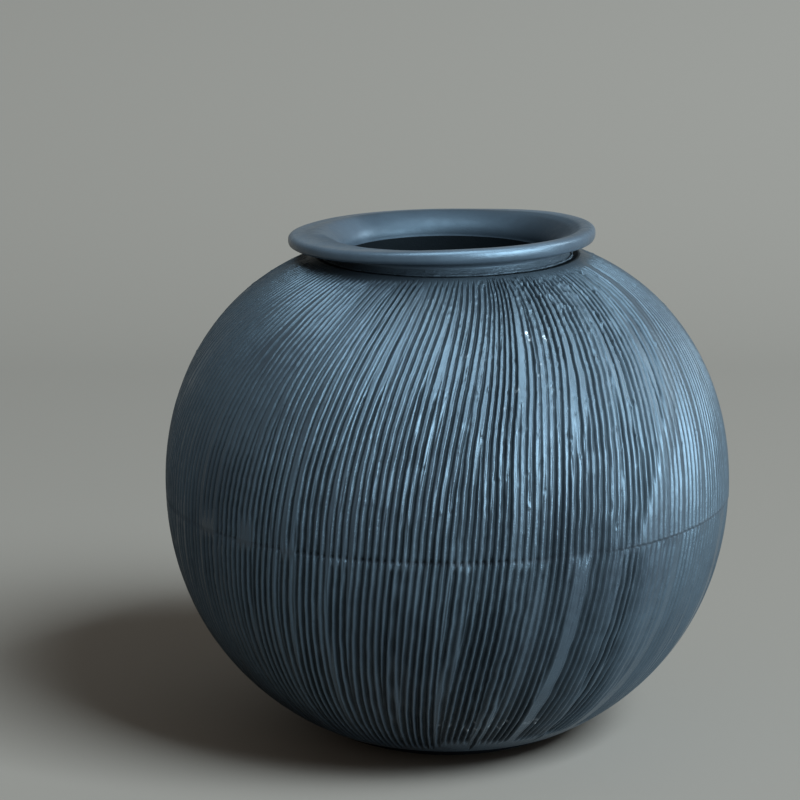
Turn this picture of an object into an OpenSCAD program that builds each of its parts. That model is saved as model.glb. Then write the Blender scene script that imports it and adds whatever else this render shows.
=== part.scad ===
// A globe-shaped black clay pot, hand built from separate clay members that are luted together:
// a floor slab, two pressed half bowls joined round the belly, and a collar with an everted lip.
// Origin: centre of the foot, on the surface that the pot stands on. +Z is up. Millimetres.

/* [Globe] */
// Largest diameter of the globe
body_d = 220; // [200:1:240]
// Height of the widest level above the foot
widest_h = 101; // [92:0.5:108]
// Diameter of the flat foot
foot_d = 83; // [76:1:96]
// Height of the upper half's curve above the widest level, if it ran on to a point
dome_h = 95; // [85:0.5:105]
// Wall thickness round the belly
wall = 6; // [4:0.5:7.5]
// Wall thickness at the top of the shoulder, measured upright
shoulder_wall = 9; // [7:0.5:11]
// Thickness of the slab that the pot stands on
floor_t = 7; // [5:0.5:9]

/* [Joints] */
// How far the seam between the half bowls lies below the widest level
seam_drop = 4.5; // [2:0.5:15]
// Thickness of the slip in that seam
seam_t = 2; // [1:0.5:3]
// How far the squeezed-out slip stands proud inside
seam_bead = 1.5; // [0.5:0.5:3]
// Width of the clay coil pressed round the foot of the collar
coil_w = 2.8; // [1.5:0.1:3.5]
// Height of that coil
coil_h = 2.6; // [1.5:0.1:3]

/* [Collar] */
// Diameter of the flat seat that the collar stands on
seat_d = 103; // [100:1:110]
// Inside diameter of the throat
throat_d = 80; // [70:1:82]
// Wall thickness of the neck
collar_wall = 6; // [5:0.5:7]
// Height of the collar above its seat
collar_h = 10.3; // [9.5:0.1:14]
// Largest diameter of the lip
lip_d = 118; // [114:1:130]
// Thickness of the lip
lip_t = 5.2; // [4:0.1:6]

/* [Hidden] */
$fn = 96;
bowl_steps = 24;  // rings down each half bowl
edge_steps = 8;   // points on each small round

// The outline of each half is a squashed circle, 1 = (height share)^a + (radius share)^b
lower_height_power = 2.13;
lower_radius_power = 2.06;
upper_height_power = 2.01;
upper_radius_power = 2.6;

body_r = body_d / 2;
foot_r = foot_d / 2;
seat_r = seat_d / 2;
throat_r = throat_d / 2;
neck_r = throat_r + collar_wall;
lip_r = lip_t / 2;
lip_centre_r = lip_d / 2 - lip_r;

// Depth of the lower half's curve below the widest level, if it ran on to a point
bowl_h = widest_h / curve(foot_r / body_r, lower_radius_power, lower_height_power);
seam_lo = widest_h - seam_drop - seam_t / 2;
seam_hi = widest_h - seam_drop + seam_t / 2;
seat_h = widest_h + dome_h * curve(seat_r / body_r, upper_radius_power, upper_height_power);
// Height at which the inside of the shoulder meets the hole for the throat
hole_h = widest_h + (dome_h - shoulder_wall)
    * curve(throat_r / (body_r - wall), upper_radius_power, upper_height_power);
top_h = seat_h + collar_h;
lip_centre_h = top_h - lip_r;
flare_h = seat_h + 1;          // the throat widens from here
neck_top_h = seat_h + coil_h;  // the outside of the neck turns out from here

clay = [0.19, 0.23, 0.28];
slip = [0.15, 0.18, 0.22];
collar_clay = [0.23, 0.28, 0.34];

// The share of one half-axis that is left at a share of the other
function curve(share, power, other_power) = pow(1 - pow(share, power), 1 / other_power);

// Radius of the globe at height z. inset and top_inset shrink it sideways and upwards, for the inside.
function globe_r(z, inset = 0, top_inset = 0) = (body_r - inset) * (z < widest_h
    ? curve((widest_h - z) / (bowl_h - inset), lower_height_power, lower_radius_power)
    : curve((z - widest_h) / (dome_h - top_inset), upper_height_power, upper_radius_power));

function outer_point(z) = [globe_r(z), z];
function inner_point(z) = [globe_r(z, wall, shoulder_wall), z];

// Heights from a to b in n steps, b left out
function levels(a, b, n) = [for (i = [0 : n - 1]) a + (b - a) * i / n];

// Points of an elliptical arc round a centre, from angle a to angle b
function arc(centre, rx, rz, a, b, n = edge_steps) =
    [for (i = [0 : n]) let (t = a + (b - a) * i / n)
        [centre[0] + rx * cos(t), centre[1] + rz * sin(t)]];

// The slab: flat on both faces, its edge carries on the curve of the globe
module floor_disc() {
    edge = [for (z = levels(0, floor_t, edge_steps)) outer_point(z)];
    color(clay) rotate_extrude()
        polygon(concat([[0, 0]], edge, [outer_point(floor_t), [0, floor_t]]));
}

// The lower half bowl, from the slab up to the seam
module lower_bowl() {
    outside = [for (z = levels(floor_t, seam_lo, bowl_steps)) outer_point(z)];
    inside = [for (z = levels(seam_lo, floor_t, bowl_steps)) inner_point(z)];
    color(clay) rotate_extrude()
        polygon(concat(outside, [outer_point(seam_lo)], inside, [inner_point(floor_t)]));
}

// The slip that joins the half bowls: flush outside, squeezed out as a round bead inside
module seam_slip() {
    bead_centre = inner_point(widest_h - seam_drop);
    bead = arc(bead_centre, -seam_bead, seam_t / 2, 70, -70);
    color(slip) rotate_extrude()
        polygon(concat([outer_point(seam_lo), outer_point(seam_hi), inner_point(seam_hi)],
                       bead, [inner_point(seam_lo)]));
}

// The upper half bowl, from the seam up to the flat seat and the round hole for the throat
module upper_bowl() {
    outside = concat([for (z = levels(seam_hi, widest_h, edge_steps / 2)) outer_point(z)],
                     [for (z = levels(widest_h, seat_h, bowl_steps)) outer_point(z)]);
    inside = [for (z = levels(hole_h, seam_hi, bowl_steps)) inner_point(z)];
    color(clay) rotate_extrude()
        polygon(concat(outside, [outer_point(seat_h), [throat_r, seat_h]],
                       inside, [inner_point(seam_hi)]));
}

// The coil pressed into the corner between the seat and the neck
module neck_coil() {
    color(slip) rotate_extrude()
        polygon(concat([[neck_r, seat_h]], arc([neck_r, seat_h], coil_w, coil_h, 0, 90)));
}

// The collar: a short neck that turns out into a rounded lip
module neck_collar() {
    underside = arc([lip_centre_r, neck_top_h], neck_r - lip_centre_r,
                    lip_centre_h - lip_r - neck_top_h, 0, 90);
    edge = arc([lip_centre_r, lip_centre_h], lip_r, lip_r, -90, 90);
    funnel = arc([lip_centre_r, flare_h], throat_r - lip_centre_r, top_h - flare_h, 90, 0);
    inner_edge = [for (i = [1 : len(edge) - 2]) edge[i]];
    color(collar_clay) rotate_extrude()
        polygon(concat([[throat_r, seat_h], [neck_r, seat_h]], underside, inner_edge, funnel));
}

floor_disc();
lower_bowl();
seam_slip();
upper_bowl();
neck_coil();
neck_collar();
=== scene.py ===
# A hand-built globe pot of smoke-blackened clay, combed from the collar down to the foot.
# Lengths are in millimetres up to the point where a mesh is made; Blender's own units are metres.
import math

import bpy
import numpy as np
from mathutils import Matrix, Vector


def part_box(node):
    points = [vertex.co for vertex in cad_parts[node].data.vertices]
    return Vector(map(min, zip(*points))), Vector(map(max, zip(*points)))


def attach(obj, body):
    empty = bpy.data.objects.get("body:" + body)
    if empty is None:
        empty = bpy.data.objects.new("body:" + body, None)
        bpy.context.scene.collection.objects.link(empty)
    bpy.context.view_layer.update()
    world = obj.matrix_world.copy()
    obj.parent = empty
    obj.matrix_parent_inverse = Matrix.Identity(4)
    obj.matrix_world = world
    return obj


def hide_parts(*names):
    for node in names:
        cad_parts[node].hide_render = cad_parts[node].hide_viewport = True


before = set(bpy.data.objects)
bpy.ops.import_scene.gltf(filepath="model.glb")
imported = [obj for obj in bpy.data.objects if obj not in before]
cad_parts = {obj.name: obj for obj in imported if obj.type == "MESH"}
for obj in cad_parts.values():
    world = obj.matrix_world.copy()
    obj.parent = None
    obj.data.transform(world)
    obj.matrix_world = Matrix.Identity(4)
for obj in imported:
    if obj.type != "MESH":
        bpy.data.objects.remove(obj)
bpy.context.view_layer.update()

MM = 0.001
TURN = 2 * math.pi
# azimuths are in degrees from +X, the right-hand side seen from the front; the front is -90


# ---------------------------------------------------------------- sizes, taken from the frame
def node_box(node):
    """Lowest and highest corner of a CAD node, in millimetres."""
    low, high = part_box(node)
    return np.array(low) / MM, np.array(high) / MM


def node_outline(node):
    """Radius and height of every vertex of a CAD node, in millimetres."""
    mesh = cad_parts[node].data
    points = np.empty(len(mesh.vertices) * 3)
    mesh.vertices.foreach_get("co", points)
    points = points.reshape(-1, 3) / MM
    return np.hypot(points[:, 0], points[:, 1]), points[:, 2]


def widest_at(node, height, reach=0.05):
    """The node's largest radius at one height."""
    radius, z = node_outline(node)
    return radius[np.abs(z - height) < reach].max()


FLOOR_TOP = node_box("floor_disc")[1][2]
SEAM_LOW = node_box("seam_slip")[0][2]
SEAM_HIGH = node_box("seam_slip")[1][2]
SEAT_H = node_box("upper_bowl")[1][2]
TOP_H = node_box("neck_collar")[1][2]
upper_radii, upper_heights = node_outline("upper_bowl")
BODY_R = upper_radii.max()
WIDEST_H = upper_heights[upper_radii.argmax()]
FOOT_R = widest_at("floor_disc", 0.0)
SEAT_R = widest_at("upper_bowl", SEAT_H)
COIL_R = widest_at("neck_coil", SEAT_H)
COIL_TOP = node_box("neck_coil")[1][2]
LIP_R = node_outline("neck_collar")[0].max()
THROAT_R = node_outline("neck_collar")[0].min()
NECK_R = widest_at("neck_collar", SEAT_H)

WALL = 6.0            # round the belly
SHOULDER_WALL = 9.0   # upright, at the top of the shoulder
LIP_THICK = 5.2
LOWER_POWERS = (2.13, 2.06)   # the squashed circles of the globe's two halves
UPPER_POWERS = (2.01, 2.6)


def left_over(share, power, other_power):
    """The share of one half-axis that is left at a share of the other."""
    return (1 - share ** power) ** (1 / other_power)


BOWL_H = WIDEST_H / left_over(FOOT_R / BODY_R, LOWER_POWERS[1], LOWER_POWERS[0])
DOME_H = (SEAT_H - WIDEST_H) / left_over(SEAT_R / BODY_R, UPPER_POWERS[1], UPPER_POWERS[0])


def globe_r(z, inset=0.0, top_inset=0.0):
    """Radius of the globe at height z, shrunk by the insets for the inside."""
    below = np.clip((WIDEST_H - z) / (BOWL_H - inset), 0, 1)
    above = np.clip((z - WIDEST_H) / (DOME_H - top_inset), 0, 1)
    share = np.where(z < WIDEST_H, left_over(below, *LOWER_POWERS), left_over(above, *UPPER_POWERS))
    return (BODY_R - inset) * share


# ---------------------------------------------------------------- small helpers
def smooth_step(x, low, high):
    t = np.clip((x - low) / (high - low), 0, 1)
    return t * t * (3 - 2 * t)


def window(angle_deg, centre, half_width, soft):
    """1 within half_width degrees of the centre, falling softly to 0, round the whole turn."""
    away = np.abs((angle_deg - centre + 180) % 360 - 180)
    return 1 - smooth_step(away, half_width, half_width + soft)


def waves(angle, orders, size, seed):
    """A smooth uneven curve round the whole turn, as a few waves of random phase."""
    draw = np.random.default_rng(seed)
    total = np.zeros_like(angle)
    for order in orders:
        total += draw.normal() * np.cos(order * angle + draw.uniform(0, TURN)) / math.sqrt(len(orders))
    return size * total


def drift_line(s, size, longest, shortest, count, draw):
    """A smooth wandering line along s, as a few sines of random phase."""
    total = np.zeros_like(s)
    for length in np.geomspace(longest, shortest, count):
        total += draw.normal() * np.sin(TURN * s / length + draw.uniform(0, TURN)) * length / longest
    return size * total


# ---------------------------------------------------------------- the globe's outer surface
COLUMNS = 2400
LOWER_ROW = 1.15    # spacing of the rows down the lower half
UPPER_ROW = 0.85    # and over the shoulder, where the crumbs are
EDGE_ROW = 0.5

fine_z = np.concatenate([np.linspace(0, WIDEST_H, 1500)[:-1],
                         WIDEST_H + (SEAT_H - WIDEST_H) * np.sin(np.linspace(0, math.pi / 2, 1500))])
fine_r = globe_r(fine_z)
fine_s = np.concatenate([[0], np.cumsum(np.hypot(np.diff(fine_r), np.diff(fine_z)))])


def s_at(z):
    """Length along the outline from the foot up to height z."""
    return float(np.interp(z, fine_z, fine_s))


def rows_between(z_low, z_high, spacing):
    low, high = s_at(z_low), s_at(z_high)
    return np.linspace(low, high, max(3, round((high - low) / spacing)) + 1)


stretches = [rows_between(0, FLOOR_TOP, LOWER_ROW), rows_between(FLOOR_TOP, SEAM_LOW, LOWER_ROW),
             rows_between(SEAM_LOW, SEAM_HIGH, EDGE_ROW), rows_between(SEAM_HIGH, SEAT_H, UPPER_ROW)]
row_s = np.concatenate([stretches[0]] + [part[1:] for part in stretches[1:]])
ends = np.cumsum([len(stretches[0]) - 1] + [len(part) - 1 for part in stretches[1:]])
FLOOR_ROWS = slice(0, ends[0] + 1)
LOWER_ROWS = slice(ends[0], ends[1] + 1)
SLIP_ROWS = slice(ends[1], ends[2] + 1)
UPPER_ROWS = slice(ends[2], ends[3] + 1)

row_z = np.interp(row_s, fine_s, fine_z)
row_r = np.interp(row_s, fine_s, fine_r)
slope_r = np.interp(row_s, fine_s, np.gradient(fine_r, fine_s))
slope_z = np.interp(row_s, fine_s, np.gradient(fine_z, fine_s))
slope_size = np.hypot(slope_r, slope_z)
normal_r, normal_z = slope_z / slope_size, -slope_r / slope_size

SEAM_S = s_at((SEAM_LOW + SEAM_HIGH) / 2)
SEAT_S = row_s[-1]
column_angle = TURN * np.arange(COLUMNS) / COLUMNS
column_deg = np.degrees(column_angle)

# Degrees that the columns lean over the whole upper half and over the whole lower half,
# and the extra lean that comes in under the neck and near the foot
LEAN_UPPER, LEAN_NECK = 3.7, 10.4
LEAN_LOWER, LEAN_FOOT = 6.0, 1.5


def swept(z):
    """The angle of every column at heights z: the columns lean to the left on their way down,
    most under the neck and near the foot, as the strokes of the comb do."""
    z = np.asarray(z, float).reshape(-1, 1)
    above = np.clip(z - SEAM_LOW, 0, None) / (SEAT_H - SEAM_LOW)
    below = np.clip(SEAM_LOW - z, 0, None) / SEAM_LOW
    calm = 1 - 0.3 * window(column_deg, -60, 14, 16)   # they run straighter right of the middle
    upper = (LEAN_UPPER * above + LEAN_NECK * above ** 3) * calm
    lower = LEAN_LOWER * below + LEAN_FOOT * below ** 3
    return column_angle + np.radians(upper - lower)


angle = swept(row_z)
angle_deg = np.degrees(angle)

# ---------------------------------------------------------------- comb strokes
TEETH = 5
PITCH = 2.75          # between neighbouring teeth
GROOVE_HALF = 1.14    # half of a groove's width
GROOVE_DEPTH = 1.15
FULL_STROKES = 31     # strokes from the neck to the foot
BURR = 0.13           # height of the burr beside a groove, as a share of its depth
LEAST_REACH = 0.02    # a tooth that reaches less than this share of its depth leaves no mark
MOST_REACH = 1.25     # and none bites deeper than this

# the comb is turned a little near the neck and the foot, which brings its grooves closer together
squeeze = 0.76 + 0.25 * smooth_step(row_r, 52, 95)
# its teeth bite widest in the lower half and leave broad ridges on the shoulder
breadth = squeeze * (1.02 - 0.13 * smooth_step(row_z, 80, 105) - 0.20 * smooth_step(row_z, 105, 155))

carved = np.zeros((len(row_s), COLUMNS))   # depth of the deepest groove at each point
burr = np.zeros_like(carved)               # clay pushed up beside a groove


def cut_groove(rows, place_mm, reach, half_width, depth):
    """Carves one groove. place_mm is where it runs at each row, round from the column of angle 0."""
    step = TURN * row_r[rows] / COLUMNS
    place = place_mm / step
    nearest = np.rint(place).astype(int)
    span = int(math.ceil(1.6 * np.max(half_width) / step.min()))
    half = half_width * (0.45 + 0.55 * np.clip(reach, 0, 1))
    for k in range(-span, span + 1):
        column = nearest + k
        u = np.abs(column - place) * step / half
        cut = depth * reach * np.clip(1 - u * u, 0, 1) ** 1.5
        lip = BURR * depth * np.clip(reach, 0, 1) * np.exp(-((u - 1.15) / 0.2) ** 2)
        at = (rows, column % COLUMNS)
        carved[at] = np.maximum(carved[at], cut)
        burr[at] = np.maximum(burr[at], lip)


class Stroke:
    """One pass of the comb: its middle line and its pressure along the whole outline."""

    def __init__(self, draw, middle, low_s, high_s, low_fade, high_fade, depth):
        self.middle = middle + drift_line(row_s, 0.05, 16, 6, 3, draw)
        rise = smooth_step(row_s, low_s, low_s + low_fade)
        fall = 1 - smooth_step(row_s, high_s - high_fade, high_s)
        self.pressure = rise * fall * (1 + drift_line(row_s, 0.12, 90, 20, 3, draw))
        self.depth = depth
        self.draw = draw
        self.tip = 0.10 * draw.normal()      # the comb leans to one side
        self.own = 1 + 0.12 * draw.normal(size=TEETH)
        self.width = 1 + 0.07 * draw.normal(size=TEETH)

    def cut(self, alive=None):
        for tooth in range(TEETH):
            side = tooth - (TEETH - 1) / 2
            off_curve = (side * PITCH) ** 2 / (2 * BODY_R) / GROOVE_DEPTH
            reach = self.pressure * self.own[tooth] * (1 + self.tip * side / 2) - off_curve
            reach = reach * (1 + drift_line(row_s, 0.07, 16, 5, 3, self.draw))
            if alive is not None:
                reach = reach * alive[tooth]
            rows = np.nonzero(reach > LEAST_REACH)[0]
            if len(rows):
                place = self.middle[rows] + side * PITCH * squeeze[rows]
                cut_groove(rows, place, np.minimum(reach[rows], MOST_REACH),
                           GROOVE_HALF * self.width[tooth] * breadth[rows], self.depth)


stroke_draw = np.random.default_rng(5)
full_strokes = []
for k in range(FULL_STROKES):
    # from the neck to the foot, side by side at both ends; they stop higher on the right
    centre = TURN * (k + 0.04 * stroke_draw.normal()) / FULL_STROKES
    steadier_below = 0.55 + 0.45 * smooth_step(row_z, 60, 130)
    wander = drift_line(row_s, 0.5, 170, 45, 3, stroke_draw) * steadier_below
    raised = 9 * float(window(np.degrees(centre), -40, 35, 20))
    stroke = Stroke(
        stroke_draw, centre * row_r + wander,
        low_s=s_at(FLOOR_TOP) + raised + stroke_draw.uniform(0, 5),
        high_s=SEAT_S - stroke_draw.uniform(0.5, 3.0), low_fade=6, high_fade=5,
        depth=GROOVE_DEPTH * stroke_draw.uniform(0.88, 1.1))
    stroke.width *= 1 + 0.22 * float(window(np.degrees(centre), -40, 18, 15))   # wider on the right
    full_strokes.append(stroke)
for stroke in full_strokes:
    stroke.cut()


def room_for(tooth, gap, loose):
    """1 where the gap between two full strokes has room for this tooth, fading as it closes."""
    side = abs(tooth - (TEETH - 1) / 2)
    needed = (TEETH + 2 * side) * PITCH * squeeze
    return smooth_step(gap, needed - 0.8 + loose, needed + 1.2 + loose)


for k, left in enumerate(full_strokes):
    # the infill between two full strokes: each tooth bites where there is room for it
    right = full_strokes[(k + 1) % FULL_STROKES]
    wrap = TURN * row_r if k == FULL_STROKES - 1 else 0
    gap = right.middle + wrap - left.middle
    between = (right.middle + wrap + left.middle) / 2
    facing = 360 * (k + 0.5) / FULL_STROKES
    sparse = float(window(facing, -36, 30, 10))    # on the right, plain strips are left below the seam
    stops = float(window(facing, -134, 8, 12))     # on the left, it stops short of the seam
    depth = GROOVE_DEPTH * stroke_draw.uniform(0.85, 1.05)
    upper = Stroke(
        stroke_draw, between, low_s=SEAM_S - 6 + stops * stroke_draw.uniform(4, 12),
        high_s=SEAT_S - stroke_draw.uniform(0.5, 3.0), low_fade=9, high_fade=6, depth=depth)
    upper.cut([room_for(tooth, gap, stroke_draw.normal() * 1.1) for tooth in range(TEETH)])
    lower = Stroke(
        stroke_draw, between + 0.25 * stroke_draw.normal(),
        low_s=s_at(FLOOR_TOP) + stroke_draw.uniform(0, 6), high_s=SEAM_S + 1,
        low_fade=9, high_fade=6, depth=depth)
    # in every other gap on the right, all teeth but the first two find no room
    extra = [9 * sparse * (k % 2) if tooth > 1 else 0 for tooth in range(TEETH)]
    lower.cut([room_for(tooth, gap, stroke_draw.normal() * 1.1 + extra[tooth]) for tooth in range(TEETH)])

# the azimuth of the front of the shoulder, where the comb was dragged twice
SHOULDER_FRONT = -72

# fine scratches beside the grooves, most of them on the front of the shoulder
SCRATCHES = 520
scratch_draw = np.random.default_rng(13)
for _ in range(SCRATCHES):
    middle_s = SEAM_S + abs(scratch_draw.normal()) * 62 - 25
    facing = math.radians(scratch_draw.normal(SHOULDER_FRONT, 38) if scratch_draw.random() < 0.7
                          else scratch_draw.uniform(0, 360))
    length = scratch_draw.uniform(10, 42)
    away = np.abs(row_s - middle_s) / (length / 2)
    rows = np.nonzero((away < 1) & (row_s < SEAT_S - 3))[0]
    if len(rows) < 3:
        continue
    place = facing * row_r[rows] + scratch_draw.normal() * 0.02 * (row_s[rows] - middle_s)
    cut_groove(rows, place, 1 - away[rows] ** 2, scratch_draw.uniform(0.38, 0.6),
               scratch_draw.uniform(0.15, 0.45))

# a leaning strip of the upper half is almost plain: its azimuth at the seam and how many degrees
# it leans over a height
STRIP_AT, STRIP_LEAN, STRIP_HEIGHT = -48.5, 20, 66

# the comb was pressed less on the left of the shoulder and to the right of that strip
press = 1 - 0.45 * window(angle_deg, -150, 18, 30) * smooth_step(row_z, 100, 150)[:, None]
above_low = np.clip(row_z - SEAM_LOW, 0, None)[:, None]
strip_at = STRIP_AT + STRIP_LEAN * (above_low / STRIP_HEIGHT) ** 1.3
past_strip = angle_deg - strip_at
press = press - 0.60 * window(past_strip, 38, 36, 6)
press = press * (1 - 0.75 * window(past_strip, 0, 1.0, 3.0) * smooth_step(row_z, 88, 100)[:, None])
carved = carved * press
burr = burr * press * (1 - smooth_step(carved, 0.02, 0.2))
height = burr - carved

# ---------------------------------------------------------------- unevenness, seam and crumbs
hand = waves(angle, (2, 3, 5), 0.25, 21) * np.sin(math.pi * row_s / SEAT_S)[:, None]
height = height + hand

above_seam = (row_s - SEAM_S)[:, None]
step_up = 0.45 * window(angle_deg, -32, 20, 10) + 0.2 * window(angle_deg, 100, 40, 30)
height = height + step_up * np.exp(-np.clip(above_seam, 0, None) / 9) * (above_seam > -0.2)
dents = window(angle_deg, -112, 34, 8) + 0.8 * window(angle_deg, 40, 30, 30) + 0.25
in_seam = np.exp(-(above_seam / 0.95) ** 2)
height = height - in_seam * (0.05 + 0.6 * dents * smooth_step(carved, 0.2, 0.6))

CRUMBS = 4200
crumb_draw = np.random.default_rng(9)


def add_lump(field, row, column, radius, size):
    """Adds one round lump (or a pit, if size is negative) to the height field."""
    near = np.nonzero(np.abs(row_s - row_s[row]) < 2.5 * radius)[0]
    step = TURN * row_r[row] / COLUMNS
    span = int(2.5 * radius / step) + 1
    across = np.arange(-span, span + 1)
    far2 = ((row_s[near] - row_s[row])[:, None] ** 2 + (across * step)[None, :] ** 2) / radius ** 2
    field[near[:, None], (column + across)[None, :] % COLUMNS] += size * np.exp(-far2 * 1.6)


for _ in range(CRUMBS):
    # torn clay: half of it is on the front of the shoulder, and the rest is finer
    front = crumb_draw.random() < 0.5
    drop = abs(crumb_draw.normal()) * (38 if front else 30)   # how far below the neck
    row = int(np.searchsorted(row_s, SEAT_S - 2.5 - drop))
    turn = crumb_draw.normal(SHOULDER_FRONT, 15) if front else crumb_draw.uniform(0, 360)
    column = int(turn / 360 * COLUMNS) % COLUMNS
    lump_or_pit = crumb_draw.uniform(0.25, 0.75) * crumb_draw.choice([1, 1, -1])
    size = lump_or_pit * (1 if front else 0.4)
    if 0.04 < carved[row, column] < 0.95:
        add_lump(height, row, column, crumb_draw.uniform(0.40, 0.85), size)

# pale dust: azimuth, height, width in degrees, height of the patch, grains and how pale they are
dust = np.zeros_like(height)
DUST_SPOTS = [
    (-84, 24, 12, 2.5, 14, 0.35),       # faint specks low on the front
    (-70, 25, 6, 2.0, 8, 0.4),
    (-58, 2.4, 5, 1.4, 14, 0.9),        # a pale patch at the foot
    (-66, 172.5, 0.3, 0.9, 3, 1.5),     # two bright specks on the shoulder
    (-61.5, 170.5, 0.3, 0.6, 2, 1.5),
    (-72, 158, 22, 18, 6, 0.3)]         # stray grains round them
for facing, z, wide, tall, grains, amount in DUST_SPOTS:
    for _ in range(grains):
        row = int(np.clip(np.searchsorted(row_z, z + tall * crumb_draw.normal() / 2), 1, len(row_z) - 2))
        turn = math.radians(facing + wide * crumb_draw.normal() / 2)
        column = int((turn - (angle[row, 0] - column_angle[0])) / TURN * COLUMNS) % COLUMNS
        add_lump(dust, row, column, crumb_draw.uniform(0.4, 0.8), amount * crumb_draw.uniform(0.6, 1.3))
dust = np.clip(dust * smooth_step(row_s, 1, 3)[:, None], 0, 1)


# ---------------------------------------------------------------- turning outlines into meshes
def build_mesh(name, points, faces, sharp_rows=(), row_length=1, values=None):
    """A smooth-shaded object from points in millimetres and lists of faces."""
    mesh = bpy.data.meshes.new(name)
    mesh.vertices.add(len(points))
    mesh.vertices.foreach_set("co", (points * MM).ravel())
    corners = np.concatenate([part.ravel() for part in faces])
    sizes = np.concatenate([np.full(len(part), part.shape[1]) for part in faces])
    mesh.loops.add(len(corners))
    mesh.loops.foreach_set("vertex_index", corners.astype(np.int32))
    mesh.polygons.add(len(sizes))
    mesh.polygons.foreach_set("loop_start", (np.cumsum(sizes) - sizes).astype(np.int32))
    mesh.update(calc_edges=True)
    mesh.polygons.foreach_set("use_smooth", np.ones(len(sizes), bool))
    if len(sharp_rows):
        pairs = np.empty(2 * len(mesh.edges), np.int32)
        mesh.edges.foreach_get("vertices", pairs)
        row = pairs.reshape(-1, 2) // row_length
        sharp = (row[:, 0] == row[:, 1]) & np.isin(row[:, 0], sharp_rows)
        mesh.attributes.new("sharp_edge", "BOOLEAN", "EDGE").data.foreach_set("value", sharp)
    for key, value in (values or {}).items():
        mesh.attributes.new(key, "FLOAT", "POINT").data.foreach_set("value", value.astype(np.float32))
    mesh.validate()
    thing = bpy.data.objects.new(name, mesh)
    bpy.context.collection.objects.link(thing)
    return thing


def ring_faces(rows, columns, closed):
    """Quads between neighbouring rows of columns, the last row joined to the first if closed."""
    row = np.arange(rows if closed else rows - 1)[:, None]
    column = np.arange(columns)[None, :]
    here, there = row * columns, (row + 1) % rows * columns
    after = (column + 1) % columns
    return np.stack([here + column, here + after, there + after, there + column], -1).reshape(-1, 4)


def turned(radius, z, turn):
    """Points for rows of radius and height at the columns' angles (all three broadcast)."""
    radius, z, turn = np.broadcast_arrays(radius, z, turn)
    return np.stack([radius * np.cos(turn), radius * np.sin(turn), z], -1)


def globe_skin(rows):
    """The globe's uneven outer surface over some of its rows, bottom to top."""
    out = height[rows]
    radius = row_r[rows, None] + normal_r[rows, None] * out
    z = row_z[rows, None] + normal_z[rows, None] * out
    return turned(radius, z, angle[rows])


def inside_skin(z_high, z_low, count, seed):
    """The smooth inside of the wall with soft finger marks, top to bottom."""
    z = np.linspace(z_high, z_low, count)[:, None]
    marks = 0.35 * np.sin(z / 4.1 + 1.3 * np.sin(z / 17)) + waves(column_angle, (2, 3, 7), 0.25, seed)
    fade = smooth_step(z, z_low, z_low + 6) * (1 - smooth_step(z, z_high - 6, z_high))
    return turned(globe_r(z, WALL, SHOULDER_WALL) + marks * fade, z, swept(z))


# the inside and the foot band were never burnished, so they are duller than the bottom of a groove; this
# value also paints them near-black as painted shade, in the hollow inside and round the foot where it meets
# the floor
INSIDE_CUT = 2.0


def row_values(rows, count):
    """Per-point values for the clay material: how deep the comb went, and how dusty it is."""
    cut = carved[rows] / GROOVE_DEPTH
    # the inside takes INSIDE_CUT, which also paints it near-black as painted shade
    return {"cut": np.concatenate([cut.ravel(), np.full(count, INSIDE_CUT)]),
            "dust": np.concatenate([dust[rows].ravel(), np.zeros(count)])}


def bowl(name, rows, z_high, z_low, inside_rows, seed, brim=None):
    """A closed shell: outer rows going up, then an optional brim, then the inside going down."""
    outer = globe_skin(rows)
    parts = [outer]
    if brim is not None:
        parts.append(brim)
    parts.append(inside_skin(z_high, z_low, inside_rows, seed))
    points = np.concatenate(parts)
    corner_rows = [0, len(outer) - 1, len(points) - inside_rows, len(points) - 1]
    if brim is not None:
        corner_rows.append(len(outer) + len(brim) - 1)
    extra = (len(points) - len(outer)) * COLUMNS
    return build_mesh(name, points.reshape(-1, 3), [ring_faces(len(points), COLUMNS, True)],
                      corner_rows, COLUMNS, row_values(rows, extra))


# ---------------------------------------------------------------- the pieces
def make_floor_disc():
    """The slab the pot stands on. Its underside is flat, its edge carries on the globe's curve."""
    outer = globe_skin(FLOOR_ROWS)
    inner_r = float(globe_r(np.array(FLOOR_TOP), WALL, SHOULDER_WALL))
    top = turned(np.linspace(inner_r, 0, 14)[:-1, None], FLOOR_TOP, swept(FLOOR_TOP))
    under = turned(np.linspace(0, FOOT_R - 1.5, 6)[1:, None], 0.0, swept(0))
    rings = np.concatenate([under, outer, top])
    points = np.concatenate([rings.reshape(-1, 3), [[0, 0, 0], [0, 0, FLOOR_TOP]]])
    column = np.arange(COLUMNS)
    after = (column + 1) % COLUMNS
    last = (len(rings) - 1) * COLUMNS
    bottom_pole, top_pole = len(points) - 2, len(points) - 1
    fan_low = np.stack([np.full(COLUMNS, bottom_pole), after, column], -1)
    fan_high = np.stack([last + column, last + after, np.full(COLUMNS, top_pole)], -1)
    faces = [ring_faces(len(rings), COLUMNS, False), fan_low, fan_high]
    # the whole slab takes the inside's value, which paints the foot band near-black as painted shade
    cut = np.full(len(points), INSIDE_CUT)
    dusty = np.zeros(len(points))
    outside = slice(len(under) * COLUMNS, (len(under) + len(outer)) * COLUMNS)
    dusty[outside] = dust[FLOOR_ROWS].ravel()
    corner_rows = [len(under), len(under) + len(outer) - 1]
    return build_mesh("FloorDisc", points, faces, corner_rows, COLUMNS, {"cut": cut, "dust": dusty})


def make_lower_bowl():
    return bowl("LowerBowl", LOWER_ROWS, SEAM_LOW, FLOOR_TOP, 40, 31)


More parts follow.
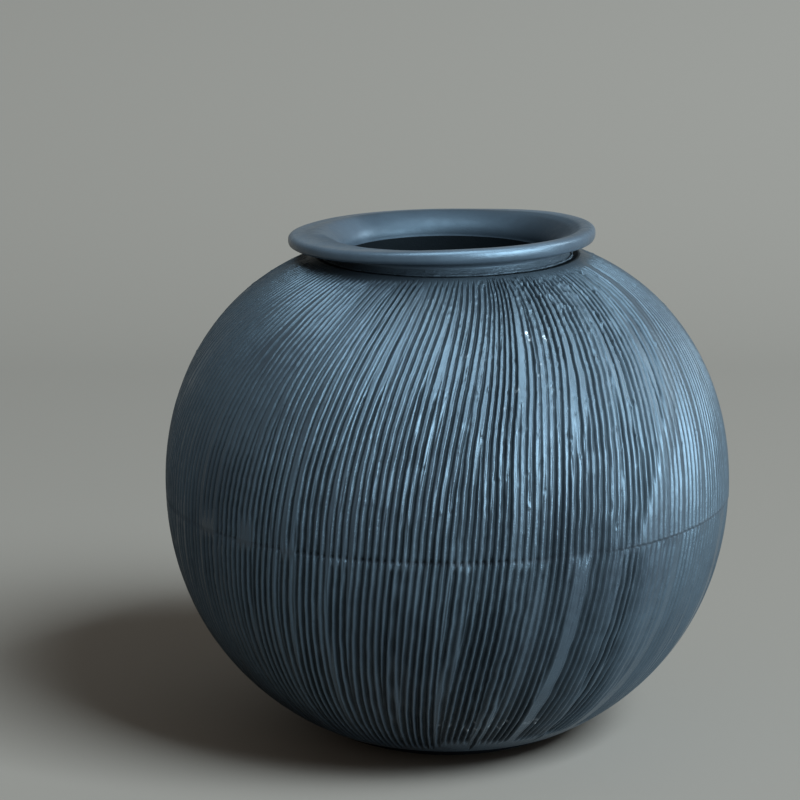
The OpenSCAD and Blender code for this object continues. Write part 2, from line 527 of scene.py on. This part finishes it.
def make_seam_slip():
    """The slip between the bowls, squeezed out inside as a small bead."""
    outer = globe_skin(SLIP_ROWS)
    t = np.linspace(0, math.pi, 9)[:, None]
    middle, half = (SEAM_LOW + SEAM_HIGH) / 2, (SEAM_HIGH - SEAM_LOW) / 2
    proud = 1.5 + waves(column_angle, (5, 9, 23), 0.3, 33)
    z = middle + half * np.cos(t)
    bead = turned(globe_r(z, WALL, SHOULDER_WALL) - proud * np.sin(t), z, swept(z))
    points = np.concatenate([outer, bead])
    corner_rows = [0, len(outer) - 1, len(outer), len(points) - 1]
    return build_mesh("SeamSlip", points.reshape(-1, 3), [ring_faces(len(points), COLUMNS, True)],
                      corner_rows, COLUMNS, row_values(SLIP_ROWS, len(bead) * COLUMNS))


def make_upper_bowl():
    """The shoulder, with the flat seat of the collar and the hole of the throat."""
    hole_low = WIDEST_H + (DOME_H - SHOULDER_WALL) * left_over(
        THROAT_R / (BODY_R - WALL), UPPER_POWERS[1], UPPER_POWERS[0])
    seat = turned(np.linspace(SEAT_R - 1.2, THROAT_R, 6)[:, None], SEAT_H, swept(SEAT_H))
    return bowl("UpperBowl", UPPER_ROWS, hole_low, SEAM_HIGH, 40, 35, seat)


def make_neck_coil():
    """The coil smeared into the corner round the neck, with a thin torn ridge along its outer edge."""
    columns, rows = 1200, 18
    turn = TURN * np.arange(columns) / columns
    draw = np.random.default_rng(41)
    reach = (COIL_R - NECK_R) + waves(turn, (3, 7, 12, 19), 0.22, 42)
    reach = reach + waves(turn, range(25, 90, 7), 0.12, 43)
    rise = (COIL_TOP - SEAT_H) - 0.5 + waves(turn, (2, 5, 11), 0.15, 44)
    ridge = 0.55 + waves(turn, (5, 9, 14, 23, 31), 0.25, 45) + waves(turn, range(37, 140, 9), 0.2, 46)
    t = np.linspace(0, 1, rows)[:, None]
    torn = np.clip(ridge, 0.05, None) * np.exp(-((t - 0.84) / 0.09) ** 2)
    skin = turned(NECK_R + reach * t, SEAT_H + rise * (1 - t) ** 2 + torn * (1 - t ** 12), turn[None, :])
    rough = draw.normal(size=(rows, columns))
    rough = (rough + np.roll(rough, 1, 1) + np.roll(rough, -1, 1)) / 3
    skin[1:-1] += (rough * 0.07)[1:-1, :, None] * turned(0.6, 1.0, turn)[None, :]
    corner = turned(NECK_R, SEAT_H, turn[None, :])
    points = np.concatenate([skin[::-1], corner])
    return build_mesh("NeckCoil", points.reshape(-1, 3), [ring_faces(len(points), columns, True)],
                      [0, len(points) - 2, len(points) - 1], columns)


LIP_COLUMNS = 720
LIP_SQUARE = 0.78       # 1 would be a half round
LIP_SHIFT = -2.0        # the lip sits a little to the left of the globe's axis
LIP_TILT_RIGHT = 0.6    # it is higher on the right
LIP_TILT_BACK = -1.0    # and lower at the back


def make_neck_collar():
    """The short neck and the lip. The lip is not quite round, level or centred."""
    lip_half = LIP_THICK / 2
    lip_at, lip_h = LIP_R - lip_half, TOP_H - lip_half
    flare_h = SEAT_H + 1
    quarter = np.linspace(0, math.pi / 2, 24)
    under = np.stack([lip_at - (lip_at - NECK_R) * np.cos(quarter),
                      COIL_TOP + (lip_h - lip_half - COIL_TOP) * np.sin(quarter)], -1)
    round_edge = np.linspace(-math.pi / 2, math.pi / 2, 26)[1:-1]
    # the lip was wiped flat with a finger, so its edge is a little squarer than a half round
    edge_out = np.cos(round_edge) ** LIP_SQUARE
    edge_up = np.sign(round_edge) * np.abs(np.sin(round_edge)) ** LIP_SQUARE
    edge = np.stack([lip_at + lip_half * edge_out, lip_h + lip_half * edge_up], -1)
    funnel = np.stack([lip_at - (lip_at - THROAT_R) * np.cos(quarter[::-1]),
                       flare_h + (TOP_H - flare_h) * np.sin(quarter[::-1])], -1)
    outline = np.concatenate([[[THROAT_R, SEAT_H]], [[NECK_R, SEAT_H]], under, edge, funnel])
    turn = TURN * np.arange(LIP_COLUMNS) / LIP_COLUMNS
    radius, z = outline[:, :1], outline[:, 1:]
    looseness = smooth_step(radius, NECK_R + 1, LIP_R - 3) * smooth_step(z, COIL_TOP, TOP_H - 4)
    turn_deg = np.degrees(turn)
    sag = -1.1 * window(turn_deg, 112, 30, 45) - 1.0 * window(turn_deg, -158, 22, 42)
    z = z + looseness * (LIP_TILT_RIGHT * np.cos(turn) + LIP_TILT_BACK * np.sin(turn) + sag
                         + waves(turn, (3, 4, 5), 0.12, 51))
    # the lip is thinner on the left
    thin = 0.10 * window(turn_deg, -160, 45, 40) * smooth_step(radius, NECK_R + 4, LIP_R - 6)
    z = z - thin * (z - (TOP_H - LIP_THICK)) * (z > TOP_H - LIP_THICK)
    radius = radius + looseness * waves(turn, (2, 3, 5), 0.3, 52)
    # the funnel was wiped rather than burnished, so it is duller, and it is painted darker towards the
    # throat as painted shade, least on the left
    row = np.arange(len(outline))[:, None]
    in_funnel = row >= len(outline) - len(funnel)
    wiped_and_shaded = in_funnel * smooth_step(LIP_R - 3 - radius, 0, 9) * (1 - 0.85 * window(turn_deg, 165, 14, 22))
    # and most on the right, where the inside of the lip is in shade
    wiped_and_shaded = wiped_and_shaded * (0.75 + 0.75 * window(turn_deg, 16, 12, 72))
    points = turned(radius, z, turn[None, :])
    points[..., 0] += looseness * LIP_SHIFT
    return build_mesh("NeckCollar", points.reshape(-1, 3), [ring_faces(len(points), LIP_COLUMNS, True)],
                      [0, 1], LIP_COLUMNS, {"cut": wiped_and_shaded.ravel(), "dust": np.zeros(wiped_and_shaded.size)})


# ---------------------------------------------------------------- materials
# near-black painted shade for the inside, the foot band and the deepest part of the funnel
PAINTED_SHADE_BLACK = (0.001, 0.0012, 0.0014)
DUST = (0.45, 0.48, 0.52)
CLAY_SHEEN = (0.56, 0.79, 1.0, 1)   # burnished clay reflects bluish
CLAY_IOR = 1.5
PEAK_GLOSS = 0.5


def clay_material(name, base, light, dark, roughness, uses_cut, grain=1.0):
    """Smoke-fired clay: cloudy blue-black, fine grain, burnished on the ridges, dull in the grooves with
    painted shade there.
    """
    material = bpy.data.materials.new(name)
    material.use_nodes = True
    nodes, links = material.node_tree.nodes, material.node_tree.links
    shader = nodes["Principled BSDF"]
    place = nodes.new("ShaderNodeTexCoord").outputs["Object"]

    def noise(scale, detail, rough=0.55):
        node = nodes.new("ShaderNodeTexNoise")
        node.inputs["Scale"].default_value = scale
        node.inputs["Detail"].default_value = detail
        node.inputs["Roughness"].default_value = rough
        links.new(place, node.inputs["Vector"])
        return node.outputs["Fac"]

    def spread(value, low, high, to_low=0.0, to_high=1.0):
        node = nodes.new("ShaderNodeMapRange")
        node.interpolation_type = "SMOOTHSTEP"
        links.new(value, node.inputs["Value"])
        for key, number in (("From Min", low), ("From Max", high), ("To Min", to_low), ("To Max", to_high)):
            node.inputs[key].default_value = number
        return node.outputs["Result"]

    def mix(share, first, second):
        node = nodes.new("ShaderNodeMix")
        node.data_type = "RGBA"
        links.new(share, node.inputs["Factor"])
        for socket, value in ((node.inputs[6], first), (node.inputs[7], second)):
            if isinstance(value, tuple):
                socket.default_value = (*value, 1)
            else:
                links.new(value, socket)
        return node.outputs[2]

    def maths(kind, first, second):
        node = nodes.new("ShaderNodeMath")
        node.operation = kind
        for socket, value in zip(node.inputs, (first, second)):
            if isinstance(value, (int, float)):
                socket.default_value = value
            else:
                links.new(value, socket)
        return node.outputs[0]

    clouds = spread(noise(18, 4), 0.35, 0.65)
    colour = mix(clouds, base, light)
    colour = mix(spread(noise(900, 3), 0.62, 0.74, 0, 0.5), colour, dark)
    colour = mix(spread(noise(2400, 2), 0.70, 0.78, 0, 0.35), colour, tuple(2.2 * c for c in light))
    rough = maths("ADD", roughness - 0.06, spread(noise(260, 5), 0.3, 0.7, 0, 0.12))
    if uses_cut:
        cut = nodes.new("ShaderNodeAttribute")
        cut.attribute_name = "cut"
        # the deeper the groove, the darker the colour: painted shade in the grooves; they are also rougher
        deep = spread(cut.outputs["Fac"], 0.15, 0.85)
        colour = mix(maths("MULTIPLY", deep, 0.85), colour, dark)
        rough = maths("ADD", rough, maths("MULTIPLY", deep, 0.18))
        dusty = nodes.new("ShaderNodeAttribute")
        dusty.attribute_name = "dust"
        pale = maths("MULTIPLY", dusty.outputs["Fac"], spread(noise(1300, 3), 0.4, 0.6))
        colour = mix(pale, colour, DUST)
        rough = maths("ADD", rough, maths("MULTIPLY", pale, 0.3))
        # past a groove's depth the clay is duller, as unburnished clay, and is painted near-black as
        # painted shade
        unburnished_and_shaded = spread(cut.outputs["Fac"], 1.2, 1.8)
        colour = mix(maths("MULTIPLY", unburnished_and_shaded, 0.65), colour, PAINTED_SHADE_BLACK)
        matt = maths("ADD", maths("MULTIPLY", deep, 0.21), maths("MULTIPLY", unburnished_and_shaded, 0.28))
        links.new(maths("SUBTRACT", PEAK_GLOSS, matt), shader.inputs["Specular IOR Level"])
    links.new(colour, shader.inputs["Base Color"])
    links.new(rough, shader.inputs["Roughness"])
    shader.inputs["IOR"].default_value = CLAY_IOR
    shader.inputs["Specular Tint"].default_value = CLAY_SHEEN

    fine, coarse = noise(1500, 4, 0.6), noise(320, 4)
    tooth = maths("ADD", maths("MULTIPLY", fine, 0.55), maths("MULTIPLY", coarse, 0.45))
    bump = nodes.new("ShaderNodeBump")
    bump.inputs["Strength"].default_value = 0.55 * grain
    bump.inputs["Distance"].default_value = 0.0004
    links.new(tooth, bump.inputs["Height"])
    links.new(bump.outputs["Normal"], shader.inputs["Normal"])
    return material


combed = clay_material(
    "CombedClay", (0.012, 0.016, 0.021), (0.018, 0.025, 0.032), (0.004, 0.0055, 0.007), 0.35, True)
plain = clay_material(
    "PlainClay", (0.011, 0.014, 0.018), (0.016, 0.020, 0.025), (0.004, 0.005, 0.007), 0.50, True)
slip_clay = clay_material(
    "SlipClay", (0.012, 0.017, 0.023), (0.020, 0.027, 0.035), (0.004, 0.006, 0.008), 0.50, False, 1.6)
smooth_clay = clay_material(
    "CollarClay", (0.016, 0.022, 0.030), (0.024, 0.033, 0.044), (0.008, 0.012, 0.017), 0.34, True, 0.6)

pieces = []
for piece, node, slot, material in (
        (make_floor_disc(), "floor_disc", "plain_clay", plain),
        (make_lower_bowl(), "lower_bowl", "combed_clay", combed),
        (make_seam_slip(), "seam_slip", "slip", plain),
        (make_upper_bowl(), "upper_bowl", "combed_clay", combed),
        (make_neck_coil(), "neck_coil", "slip", slip_clay),
        (make_neck_collar(), "neck_collar", "collar_clay", smooth_clay)):
    piece.data.materials.append(material)
    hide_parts(node)
    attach(piece, "root")
    pieces.append(piece)


# ---------------------------------------------------------------- floor, light and camera
def plain_material(name, colour, roughness):
    material = bpy.data.materials.new(name)
    material.use_nodes = True
    shader = material.node_tree.nodes["Principled BSDF"]
    shader.inputs["Base Color"].default_value = (*colour, 1)
    shader.inputs["Roughness"].default_value = roughness
    return material


FLOOR_COLOUR = (0.175, 0.168, 0.158)


def make_backdrop():
    """A pale floor that curves up into a wall behind the pot. These lengths are in metres."""
    front, back, wide, tall, bend = -3.0, 1.1, 3.0, 2.2, 0.45
    turn = np.linspace(0, math.pi / 2, 24)
    line = [(front, 0.0)] + [(back - bend + bend * math.sin(t), bend - bend * math.cos(t)) for t in turn]
    line.append((back, tall))
    points = np.array([(x, y, z) for y, z in line for x in (-wide, wide)]) / MM
    rows = np.arange(len(line) - 1)[:, None] * 2
    floor = build_mesh("Backdrop", points, [rows + np.array([[0, 1, 3, 2]])])
    floor.data.materials.append(plain_material("PaleFloor", FLOOR_COLOUR, 0.85))
    return floor


def aim(thing, target):
    direction = np.array(target) - np.array(thing.location)
    level = math.hypot(direction[0], direction[1])
    thing.rotation_euler = (math.atan2(level, -direction[2]), 0, math.atan2(-direction[0], direction[1]))


def area_light(name, azimuth, elevation, distance, size, power, colour):
    """A soft box that faces the middle of the pot, from an azimuth and elevation in degrees."""
    light = bpy.data.lights.new(name, "AREA")
    light.shape = "RECTANGLE"
    light.size, light.size_y = size
    light.energy = power
    light.color = colour
    thing = bpy.data.objects.new(name, light)
    bpy.context.collection.objects.link(thing)
    middle = WIDEST_H * MM
    flat, turn = math.cos(math.radians(elevation)) * distance, math.radians(azimuth)
    thing.location = (flat * math.cos(turn), flat * math.sin(turn),
                      middle + distance * math.sin(math.radians(elevation)))
    aim(thing, (0, 0, middle))
    return thing


WORLD_COLOUR = (0.285, 0.247, 0.207, 1)


def make_light(floor):
    """On the pot: a wide low window on the right, a little from the side and soft light from
    overhead. The floor has a light of its own, further away, so that it doesn't glare near the lamps."""
    window_light = area_light("Window", -38, 14, 1.6, (1.5, 0.95), 114, (0.77, 0.93, 1.0))
    side = area_light("Side", 10, 30, 1.6, (0.5, 0.7), 17, (0.80, 0.94, 1.0))
    overhead = area_light("Overhead", -72, 68, 1.6, (1.7, 1.4), 91, (0.75, 0.92, 1.0))
    room = area_light("Room", -38, 45, 5.0, (2.5, 2.0), 560, (0.88, 0.98, 1.0))
    pot_lights = (window_light, side, overhead)
    for name, lights, lit in (("Pot", pot_lights, pieces), ("Floor", (room,), (floor,))):
        group = bpy.data.collections.new(name)
        for thing in lit:
            group.objects.link(thing)
        for light in lights:
            light.light_linking.receiver_collection = group
    world = bpy.data.worlds.new("Studio")
    world.use_nodes = True
    world.node_tree.nodes["Background"].inputs["Color"].default_value = WORLD_COLOUR
    bpy.context.scene.world = world


CAMERA_BACK, CAMERA_UP = 10.021, 3.513    # in radii of the globe
CAMERA_TURN = (0.2275, 0.0167, -0.0067)   # pitch down, yaw and roll, in radians
CAMERA_LENS = 130.5                       # millimetres, on a sensor 36 wide


def make_camera():
    """A long lens, above the pot's lip, aimed a little to the left of its axis."""
    distance, rise = CAMERA_BACK * BODY_R * MM, CAMERA_UP * BODY_R * MM
    pitch, yaw, roll = CAMERA_TURN
    level = Vector((math.cos(yaw), math.sin(yaw), 0))
    ahead = Vector((-math.sin(yaw), math.cos(yaw), 0))
    forward = math.cos(pitch) * ahead - math.sin(pitch) * Vector((0, 0, 1))
    upright = math.sin(pitch) * ahead + math.cos(pitch) * Vector((0, 0, 1))
    right = math.cos(roll) * level + math.sin(roll) * upright
    up = math.cos(roll) * upright - math.sin(roll) * level
    camera = bpy.data.cameras.new("Camera")
    camera.sensor_width = 36
    camera.lens = CAMERA_LENS
    camera.clip_start, camera.clip_end = 0.05, 50
    thing = bpy.data.objects.new("Camera", camera)
    bpy.context.collection.objects.link(thing)
    turn = Matrix((right, up, -forward)).transposed().to_4x4()
    thing.matrix_world = Matrix.Translation((0, -distance, rise)) @ turn
    bpy.context.scene.camera = thing


backdrop = make_backdrop()
make_light(backdrop)
make_camera()
bpy.context.scene.view_settings.view_transform = "Standard"
